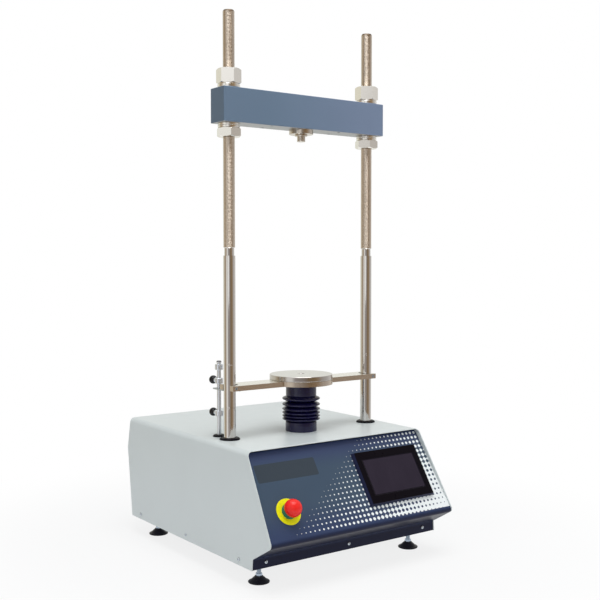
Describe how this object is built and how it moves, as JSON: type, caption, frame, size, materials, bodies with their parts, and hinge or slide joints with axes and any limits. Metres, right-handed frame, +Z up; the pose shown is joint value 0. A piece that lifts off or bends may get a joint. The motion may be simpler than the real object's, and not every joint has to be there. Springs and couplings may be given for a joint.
{
  "type": "compression testing machine",
  "caption": "Bench frame with a screw-driven lower platen between threaded columns, a height-adjustable crosshead, stop rod, sloping control panel and stop button.",
  "frame": {"origin": "middle of the footprint box at the floor under the feet; the column plane is 84.4 mm in front of it", "axes": "+Z up along the columns, the operator's side and the sloping front face -Y, +X to the operator's right"},
  "size_m": [0.5378, 0.673, 1.272],
  "materials": {
    "case_paint": "pale grey fine-textured powder coat",
    "galvanised": "galvanised sheet",
    "fascia_print": "dark blue grey paint with a printed white dot pattern",
    "screw_steel": "stainless screws",
    "machined_steel": "machined steel",
    "chromed_steel": "polished and chromed steel",
    "black_screw": "blackened steel",
    "rubber": "black rubber",
    "cast_housing": "primed casting",
    "motor_paint": "black painted motor",
    "pulley_aluminium": "turned aluminium",
    "black_plastic": "moulded black plastic",
    "supply_case": "plain sheet metal case",
    "board": "green circuit board",
    "plated_bar": "milled and nickel plated flat bar",
    "ground_platen": "turned and ground, nickel plated",
    "zinc_plated": "bright zinc plate",
    "bellows_rubber": "moulded dark blue black rubber",
    "gloss_black": "polished black plastic",
    "crosshead_paint": "blue grey paint, underside bare",
    "nickel_plated": "bright nickel plate",
    "legend_yellow": "yellow disc",
    "collar_green": "green plastic",
    "head_red": "red plastic",
    "bezel_plastic": "black moulded bezel",
    "display_glass": "dark glass over a switched off display",
    "foot_plastic": "black plastic pad on a plated spindle"
  },
  "bodies": {
    "root": {"cover": "case_paint", "tray": "galvanised", "front_fascia": "fascia_print", "rear_panel": "case_paint", "case_screws": "screw_steel", "load_plate": "machined_steel", "side_frames": "machined_steel", "column_left": "chromed_steel", "column_right": "chromed_steel", "column_base_nuts": "screw_steel", "cap_screws": "black_screw", "grommets": "rubber", "jack_housing": "cast_housing", "nut_bearings": "machined_steel", "drive_belt": "rubber", "gear_motor": "motor_paint", "motor_bracket": "galvanised", "switch_bracket": "galvanised", "limit_switches": "black_plastic", "centring_spring": "screw_steel", "power_supply": "supply_case", "motor_drive": "supply_case", "control_board": "board", "bellows": "bellows_rubber", "estop_legend": "legend_yellow", "estop_collar": "collar_green", "estop_contact_block": "black_plastic", "display_bezel": "bezel_plastic", "display_glass": "display_glass", "display_housing": "black_plastic", "power_inlet": "black_plastic", "data_connectors": "supply_case"},
    "lift_nut": {"lift_nut": "machined_steel"},
    "motor_pulley": {"motor_pulley": "pulley_aluminium"},
    "ram": {"ram_screw": "machined_steel", "guide_bar": "plated_bar", "platen": "ground_platen", "guide_bar_screws": "zinc_plated", "trip_plate": "zinc_plated"},
    "stop_rod": {"stop_rod": "zinc_plated", "rod_cap": "black_plastic", "rod_collars": "zinc_plated"},
    "upper_stop": {"upper_stop_collar": "zinc_plated"},
    "lower_stop": {"lower_stop_collar": "zinc_plated"},
    "upper_knob": {"upper_stop_knob": "gloss_black"},
    "lower_knob": {"lower_stop_knob": "gloss_black"},
    "crosshead": {"crosshead": "crosshead_paint", "washers": "nickel_plated", "load_cell_adapter": "nickel_plated"},
    "upper_nut_left": {"upper_nut_left": "nickel_plated"},
    "upper_nut_right": {"upper_nut_right": "nickel_plated"},
    "lower_nut_left": {"lower_nut_left": "nickel_plated"},
    "lower_nut_right": {"lower_nut_right": "nickel_plated"},
    "estop_stem": {"estop_stem": "black_plastic"},
    "estop_head": {"estop_head": "head_red"},
    "switch_rocker": {"switch_rocker": "gloss_black"},
    "foot_front_left": {"foot_front_left": "foot_plastic"},
    "foot_front_right": {"foot_front_right": "foot_plastic"},
    "foot_rear_left": {"foot_rear_left": "foot_plastic"},
    "foot_rear_right": {"foot_rear_right": "foot_plastic"}
  },
  "joints": [
    {"name": "lift_nut_turn", "type": "hinge", "parent": "root", "child": "lift_nut", "pos_m": [0, -0.0844, 0.17], "axis": [0, 0, 1], "range_deg": [-1620, 252]},
    {"name": "ram_lift", "type": "slide", "parent": "root", "child": "ram", "axis": [0, 0, 1], "range_m": [-0.0451, 0.0071], "deforming": ["bellows"]},
    {"name": "motor_turn", "type": "hinge", "parent": "root", "child": "motor_pulley", "pos_m": [0, 0.0656, 0.123], "axis": [0, 0, 1], "range_deg": [-4830, 770]},
    {"name": "stop_rod_slide", "type": "slide", "parent": "root", "child": "stop_rod", "axis": [0, 0, 1], "range_m": [-0.003, 0.003], "stiffness_N_per_m": 4000, "springref_m": 0.0008, "deforming": ["centring_spring"]},
    {"name": "upper_stop_slide", "type": "slide", "parent": "stop_rod", "child": "upper_stop", "axis": [0, 0, 1], "range_m": [0, 0.018]},
    {"name": "lower_stop_slide", "type": "slide", "parent": "stop_rod", "child": "lower_stop", "axis": [0, 0, 1], "range_m": [-0.04, 0]},
    {"name": "upper_knob_turn", "type": "hinge", "parent": "upper_stop", "child": "upper_knob", "pos_m": [-0.2035, -0.0104, 0.4232], "axis": [0, 1, 0], "continuous": true},
    {"name": "lower_knob_turn", "type": "hinge", "parent": "lower_stop", "child": "lower_knob", "pos_m": [-0.2035, -0.0104, 0.3467], "axis": [0, 1, 0], "continuous": true},
    {"name": "crosshead_slide", "type": "slide", "parent": "root", "child": "crosshead", "axis": [0, 0, 1], "range_m": [-0.24, 0.128]},
    {"name": "upper_nut_left_turn", "type": "hinge", "parent": "crosshead", "child": "upper_nut_left", "pos_m": [-0.204, -0.0844, 1.12], "axis": [0, 0, 1], "continuous": true},
    {"name": "upper_nut_right_turn", "type": "hinge", "parent": "crosshead", "child": "upper_nut_right", "pos_m": [0.204, -0.0844, 1.12], "axis": [0, 0, 1], "continuous": true},
    {"name": "lower_nut_left_turn", "type": "hinge", "parent": "crosshead", "child": "lower_nut_left", "pos_m": [-0.204, -0.0844, 0.996], "axis": [0, 0, 1], "continuous": true},
    {"name": "lower_nut_right_turn", "type": "hinge", "parent": "crosshead", "child": "lower_nut_right", "pos_m": [0.204, -0.0844, 0.996], "axis": [0, 0, 1], "continuous": true},
    {"name": "estop_push", "type": "slide", "parent": "root", "child": "estop_stem", "axis": [0, -0.8279, 0.5609], "range_m": [-0.004, 0], "stiffness_N_per_m": 800, "springref_m": 0.002},
    {"name": "estop_twist", "type": "hinge", "parent": "estop_stem", "child": "estop_head", "pos_m": [-0.191, -0.31568, 0.17711], "axis": [0, -0.8279, 0.5609], "range_deg": [-35, 0], "stiffness_Nm_per_rad": 0.05, "springref_deg": 8.59},
    {"name": "mains_switch_rock", "type": "hinge", "parent": "root", "child": "switch_rocker", "pos_m": [-0.166, 0.3051, 0.10427], "axis": [-1, 0, 0], "range_deg": [0, 18]},
    {"name": "foot_front_left_screw", "type": "slide", "parent": "root", "child": "foot_front_left", "axis": [0, 0, 1], "range_m": [-0.01, 0.01]},
    {"name": "foot_front_right_screw", "type": "slide", "parent": "root", "child": "foot_front_right", "axis": [0, 0, 1], "range_m": [-0.01, 0.01]},
    {"name": "foot_rear_left_screw", "type": "slide", "parent": "root", "child": "foot_rear_left", "axis": [0, 0, 1], "range_m": [-0.01, 0.01]},
    {"name": "foot_rear_right_screw", "type": "slide", "parent": "root", "child": "foot_rear_right", "axis": [0, 0, 1], "range_m": [-0.01, 0.01]}
  ],
  "couplings": [
    {"joint": "ram_lift", "follows": "lift_nut_turn", "m_per_rad": 0.0015915},
    {"joint": "motor_turn", "follows": "lift_nut_turn", "ratio": 2.9704}
  ]
}
